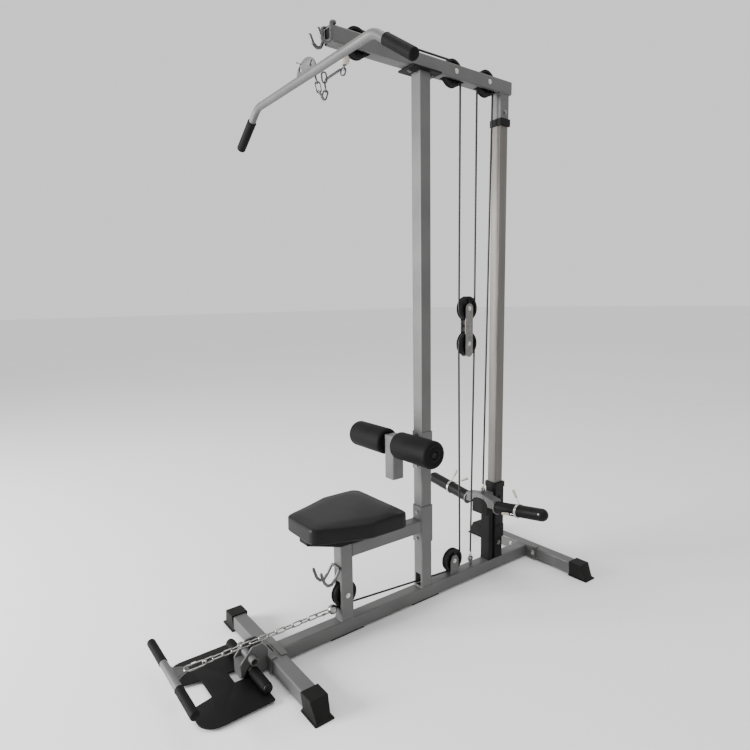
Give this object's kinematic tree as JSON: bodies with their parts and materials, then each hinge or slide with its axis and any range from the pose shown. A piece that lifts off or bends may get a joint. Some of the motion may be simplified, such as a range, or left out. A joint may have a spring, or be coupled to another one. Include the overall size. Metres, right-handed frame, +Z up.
{
  "type": "lat pulldown machine",
  "caption": "Free-standing lat pulldown and low row machine with a padded seat, foam knee rollers, an overhead bar, a folding foot plate and a sliding plate carriage.",
  "frame": {"origin": "on the floor, in the middle of the machine's footprint", "axes": "+Z up, X across the machine, -Y towards the foot plate and the user, +Y towards the weight carriage"},
  "size_m": [1.0096, 1.6778, 2.0448],
  "materials": {
    "frame_paint": "silver grey powder coat, satin",
    "zinc_plate": "zinc plated steel, semi gloss",
    "bright_steel": "bright plated steel",
    "black_paint": "black powder coat, satin",
    "black_plastic": "black moulded nylon",
    "black_rubber": "black moulded rubber",
    "black_foam": "closed cell foam with a smooth skin",
    "black_vinyl": "black vinyl over foam",
    "cable_jacket": "nylon jacket on steel cable"
  },
  "bodies": {
    "frame": {"axle_low_front": "zinc_plate", "axle_low_rear": "zinc_plate", "axle_top_front": "zinc_plate", "axle_top_mid": "zinc_plate", "axle_top_rear": "zinc_plate", "base_beam": "frame_paint", "block_cable": "cable_jacket", "boom": "frame_paint", "boom_cap": "black_plastic", "boot_front_left": "black_rubber", "boot_front_right": "black_rubber", "boot_rear_left": "black_rubber", "boot_rear_right": "black_rubber", "carriage_cable": "cable_jacket", "front_foot": "frame_paint", "guide_base": "black_paint", "guide_bumper": "black_rubber", "guide_rail": "zinc_plate", "hook_lower": "zinc_plate", "hook_upper": "zinc_plate", "knee_arm": "frame_paint", "knee_axle": "zinc_plate", "lat_cable": "cable_jacket", "peg_foam_left": "black_foam", "peg_foam_right": "black_foam", "rear_foot": "frame_paint", "rest_block": "black_rubber", "row_cable": "cable_jacket", "seat_frame": "frame_paint", "seat_mount": "black_paint", "seat_pad": "black_vinyl", "upright": "frame_paint"},
    "carriage": {"carriage_frame": "frame_paint", "carriage_slider": "black_plastic", "horn_sleeve_left": "black_plastic", "horn_sleeve_right": "black_plastic"},
    "collar_left": {"spring_collar_left": "bright_steel"},
    "collar_right": {"spring_collar_right": "bright_steel"},
    "lat_handle": {"lat_bar": "frame_paint", "lat_grip_left": "black_rubber", "lat_grip_right": "black_rubber", "lat_chain": "bright_steel"},
    "row_handle": {"row_handle": "frame_paint", "row_grip_left": "black_rubber", "row_grip_right": "black_rubber", "row_chain": "bright_steel"},
    "block": {"block_frame": "zinc_plate", "axle_block_upper": "zinc_plate", "axle_block_lower": "zinc_plate"},
    "wheel_top_front": {"pulley_top_front": "black_plastic"},
    "wheel_top_mid": {"pulley_top_mid": "black_plastic"},
    "wheel_top_rear": {"pulley_top_rear": "black_plastic"},
    "wheel_low_front": {"pulley_low_front": "black_plastic"},
    "wheel_low_rear": {"pulley_low_rear": "black_plastic"},
    "wheel_block_upper": {"pulley_block_upper": "black_plastic"},
    "wheel_block_lower": {"pulley_block_lower": "black_plastic"},
    "foot_plate": {"foot_plate": "black_paint"},
    "roller_left": {"knee_roller_left": "black_foam"},
    "roller_right": {"knee_roller_right": "black_foam"}
  },
  "joints": [
    {"name": "carriage_lift", "type": "slide", "parent": "frame", "child": "carriage", "axis": [0, 0, 1], "range_m": [0, 0.9], "deforming": ["carriage_cable"]},
    {"name": "lat_bar_pull", "type": "slide", "parent": "frame", "child": "lat_handle", "axis": [0, 0, -1], "range_m": [0, 0.9]},
    {"name": "row_handle_pull", "type": "slide", "parent": "frame", "child": "row_handle", "axis": [0, -1, 0], "range_m": [0, 0.8]},
    {"name": "block_drop", "type": "slide", "parent": "frame", "child": "block", "axis": [0, 0, -1], "range_m": [0, 0.4], "deforming": ["lat_cable", "block_cable"]},
    {"name": "foot_plate_fold", "type": "hinge", "parent": "frame", "child": "foot_plate", "pos_m": [0, -0.5855, 0.033], "axis": [-1, 0, 0], "range_deg": [0, 30]},
    {"name": "roller_left_turn", "type": "hinge", "parent": "frame", "child": "roller_left", "pos_m": [-0.12625, 0.024, 0.658], "axis": [1, 0, 0], "continuous": true},
    {"name": "roller_right_turn", "type": "hinge", "parent": "frame", "child": "roller_right", "pos_m": [0.12625, 0.024, 0.658], "axis": [1, 0, 0], "continuous": true},
    {"name": "collar_left_slide", "type": "slide", "parent": "carriage", "child": "collar_left", "axis": [-0.9882, 0, 0.153], "range_m": [-0.07, 0.09]},
    {"name": "collar_right_slide", "type": "slide", "parent": "carriage", "child": "collar_right", "axis": [0.9882, 0, 0.153], "range_m": [-0.07, 0.09]},
    {"name": "wheel_top_front_turn", "type": "hinge", "parent": "frame", "child": "wheel_top_front", "pos_m": [0, -0.1135, 1.9968], "axis": [1, 0, 0], "range_deg": [-1180, 1180]},
    {"name": "wheel_top_mid_turn", "type": "hinge", "parent": "frame", "child": "wheel_top_mid", "pos_m": [0, 0.3185, 1.9968], "axis": [1, 0, 0], "range_deg": [-1180, 1180]},
    {"name": "wheel_top_rear_turn", "type": "hinge", "parent": "frame", "child": "wheel_top_rear", "pos_m": [0, 0.4965, 1.9968], "axis": [1, 0, 0], "range_deg": [-1180, 1180]},
    {"name": "wheel_block_upper_turn", "type": "hinge", "parent": "block", "child": "wheel_block_upper", "pos_m": [0, 0.4055, 1.142], "axis": [1, 0, 0], "range_deg": [-1180, 1180]},
    {"name": "wheel_low_front_turn", "type": "hinge", "parent": "frame", "child": "wheel_low_front", "pos_m": [0, -0.2105, 0.15], "axis": [1, 0, 0], "range_deg": [-1050, 1050]},
    {"name": "wheel_low_rear_turn", "type": "hinge", "parent": "frame", "child": "wheel_low_rear", "pos_m": [0, 0.3285, 0.112], "axis": [1, 0, 0], "range_deg": [-1050, 1050]},
    {"name": "wheel_block_lower_turn", "type": "hinge", "parent": "block", "child": "wheel_block_lower", "pos_m": [0, 0.4055, 1.003], "axis": [1, 0, 0], "range_deg": [-540, 540]}
  ],
  "couplings": [
    {"joint": "lat_bar_pull", "follows": "carriage_lift", "ratio": 1},
    {"joint": "wheel_top_front_turn", "follows": "carriage_lift", "rad_per_m": 22.727},
    {"joint": "wheel_top_mid_turn", "follows": "carriage_lift", "rad_per_m": 22.727},
    {"joint": "wheel_top_rear_turn", "follows": "carriage_lift", "rad_per_m": 22.727},
    {"joint": "wheel_block_upper_turn", "follows": "carriage_lift", "rad_per_m": -22.727},
    {"joint": "block_drop", "follows": "row_handle_pull", "ratio": 0.5},
    {"joint": "wheel_low_front_turn", "follows": "row_handle_pull", "rad_per_m": -22.727},
    {"joint": "wheel_low_rear_turn", "follows": "row_handle_pull", "rad_per_m": -22.727},
    {"joint": "wheel_block_lower_turn", "follows": "row_handle_pull", "rad_per_m": 11.364}
  ]
}
